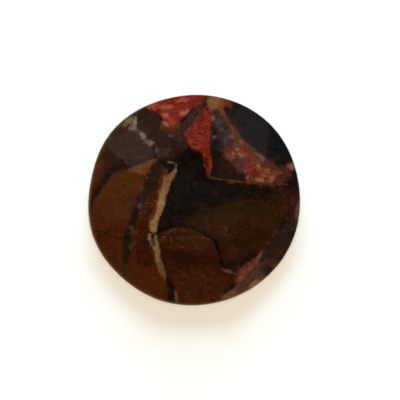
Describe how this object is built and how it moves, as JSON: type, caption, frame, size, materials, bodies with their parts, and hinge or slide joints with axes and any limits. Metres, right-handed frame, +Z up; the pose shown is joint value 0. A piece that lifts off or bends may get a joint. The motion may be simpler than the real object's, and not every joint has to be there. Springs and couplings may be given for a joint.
{
  "type": "faceted round jasper",
  "caption": "Loose round of brecciated jasper with a flat table, ground crown facets, an upright girdle and a flat bevelled back to rest or be set on.",
  "frame": {"origin": "middle of the flat back, in the plane it rests on", "axes": "+Z up through the table, out of the face that is looked at; +X and +Y across the stone, +Y towards the red fragments at its far edge"},
  "size_m": [0.02, 0.0198, 0.0052],
  "materials": {
    "polished_jasper": "polished opaque stone, dark brown and red fragments with cream and grey veins"
  },
  "bodies": {
    "root": {"stone": "polished_jasper"}
  },
  "joints": []
}
